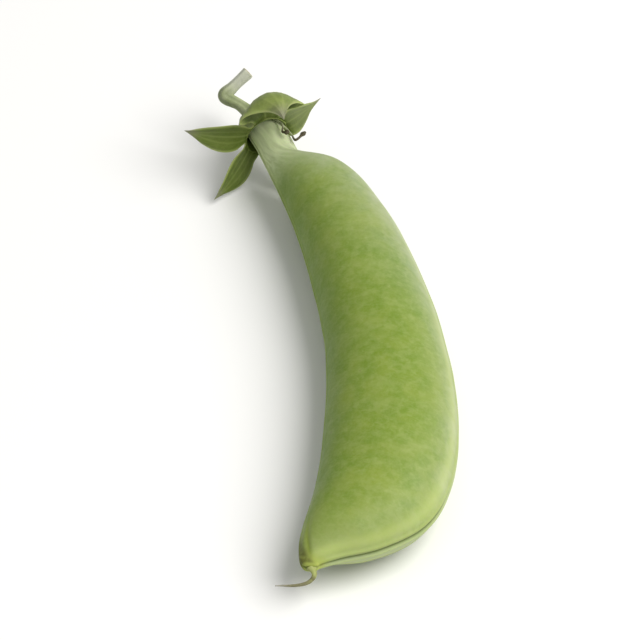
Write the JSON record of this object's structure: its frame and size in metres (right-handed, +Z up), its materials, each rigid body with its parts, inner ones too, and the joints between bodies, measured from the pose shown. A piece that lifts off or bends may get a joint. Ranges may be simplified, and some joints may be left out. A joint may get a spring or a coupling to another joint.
{
  "type": "sugar snap pea",
  "caption": "Plump edible pea pod as picked, lying on one cheek, slightly curved, with its leafy calyx, a short bent stalk and a dry style curling from the beak.",
  "frame": {"origin": "on the surface that the pod lies on, under the middle of the whole bounding box", "axes": "+Z up from the surface; +Y along the pod from its beak to its stalk; +X towards the convex suture, so the pod's hollow side faces -X"},
  "size_m": [0.0382, 0.096, 0.0166],
  "materials": {
    "pod_skin": "smooth waxy plant skin, satin, fresh yellow-green with a paler bloom",
    "calyx_leaf": "thin green leaf, matte to satin, darker than the pod, veined",
    "stalk_skin": "pale grey-green ribbed stalk, matte",
    "dry_thread": "dry papery brown-green thread, matte"
  },
  "bodies": {
    "root": {"pod": "pod_skin", "calyx_cup": "calyx_leaf", "sepal_convex": "calyx_leaf", "sepal_top": "calyx_leaf", "sepal_concave_upper": "calyx_leaf", "sepal_concave_lower": "calyx_leaf", "sepal_under": "calyx_leaf", "stalk": "stalk_skin", "stamen_thread_1": "dry_thread", "stamen_thread_2": "dry_thread", "style": "dry_thread"}
  },
  "joints": []
}
